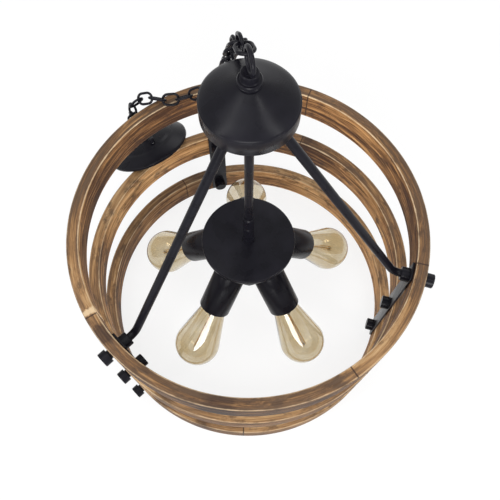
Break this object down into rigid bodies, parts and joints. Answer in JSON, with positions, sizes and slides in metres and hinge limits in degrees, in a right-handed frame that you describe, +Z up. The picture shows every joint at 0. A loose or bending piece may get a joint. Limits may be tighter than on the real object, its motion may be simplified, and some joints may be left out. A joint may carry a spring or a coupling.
{
  "type": "wooden drum chandelier",
  "caption": "Drum chandelier of stacked bentwood hoops on black steel straps, with bent rods up to a domed hub, a stemmed lamp cluster, clear amber bulbs, chain and canopy.",
  "frame": {"origin": "on the drum's axis, at the underside of the bottom hoop", "axes": "+Z up along the drum's axis, -Y towards the picture's near side"},
  "size_m": [0.4776, 0.4593, 0.5897],
  "materials": {
    "wood": "weathered stained wood with light worn edges",
    "black_metal": "satin black powder coat",
    "zinc": "plain zinc-plated steel",
    "brass": "drawn brass",
    "holder": "black moulded thermoset",
    "amber_glass": "clear pale amber glass",
    "filament": "golden filament on a glass stem"
  },
  "bodies": {
    "fixture": {"arm_back": "black_metal", "arm_inner_nuts": "black_metal", "arm_left": "black_metal", "arm_outer_nuts": "black_metal", "arm_right": "black_metal", "bolt_inner_nuts": "black_metal", "bolt_outer_nuts": "black_metal", "canopy": "black_metal", "canopy_collar": "black_metal", "canopy_crossbar": "zinc", "canopy_knobs": "black_metal", "canopy_loop": "black_metal", "canopy_screws": "zinc", "chain_links": "black_metal", "holder_contacts": "brass", "hoop_bolts": "zinc", "hoop_bottom": "wood", "hoop_middle": "wood", "hoop_top": "wood", "hub_base": "black_metal", "hub_collar": "black_metal", "hub_dome": "black_metal", "hub_loop": "black_metal", "lamp_nipples": "zinc", "lamp_pan": "black_metal", "lamp_plate": "black_metal", "lampholder_1": "holder", "lampholder_2": "holder", "lampholder_3": "holder", "lampholder_4": "holder", "lampholder_5": "holder", "pan_finial": "black_metal", "plate_nut": "black_metal", "sleeve_1": "black_metal", "sleeve_2": "black_metal", "sleeve_3": "black_metal", "sleeve_4": "black_metal", "sleeve_5": "black_metal", "stem": "black_metal", "stem_coupling": "black_metal", "stem_nut": "black_metal", "strap_back": "black_metal", "strap_left": "black_metal", "strap_right": "black_metal"},
    "bulb_1": {"bulb_cap_1": "brass", "bulb_glass_1": "amber_glass", "bulb_filament_1": "filament"},
    "bulb_2": {"bulb_cap_2": "brass", "bulb_glass_2": "amber_glass", "bulb_filament_2": "filament"},
    "bulb_3": {"bulb_cap_3": "brass", "bulb_glass_3": "amber_glass", "bulb_filament_3": "filament"},
    "bulb_4": {"bulb_cap_4": "brass", "bulb_glass_4": "amber_glass", "bulb_filament_4": "filament"},
    "bulb_5": {"bulb_cap_5": "brass", "bulb_glass_5": "amber_glass", "bulb_filament_5": "filament"}
  },
  "joints": [
    {"name": "bulb_1_screw", "type": "hinge", "parent": "fixture", "child": "bulb_1", "pos_m": [-0.03206, -0.06293, 0.16463], "axis": [-0.3038, -0.5962, -0.7431], "range_deg": [0, 1080]},
    {"name": "bulb_2_screw", "type": "hinge", "parent": "fixture", "child": "bulb_2", "pos_m": [0.04994, -0.04994, 0.16463], "axis": [0.4731, -0.4731, -0.7431], "range_deg": [0, 1080]},
    {"name": "bulb_3_screw", "type": "hinge", "parent": "fixture", "child": "bulb_3", "pos_m": [0.06293, 0.03206, 0.16463], "axis": [0.5962, 0.3038, -0.7431], "range_deg": [0, 1080]},
    {"name": "bulb_4_screw", "type": "hinge", "parent": "fixture", "child": "bulb_4", "pos_m": [-0.01105, 0.06975, 0.16463], "axis": [-0.1047, 0.6609, -0.7431], "range_deg": [0, 1080]},
    {"name": "bulb_5_screw", "type": "hinge", "parent": "fixture", "child": "bulb_5", "pos_m": [-0.06975, 0.01105, 0.16463], "axis": [-0.6609, 0.1047, -0.7431], "range_deg": [0, 1080]}
  ]
}
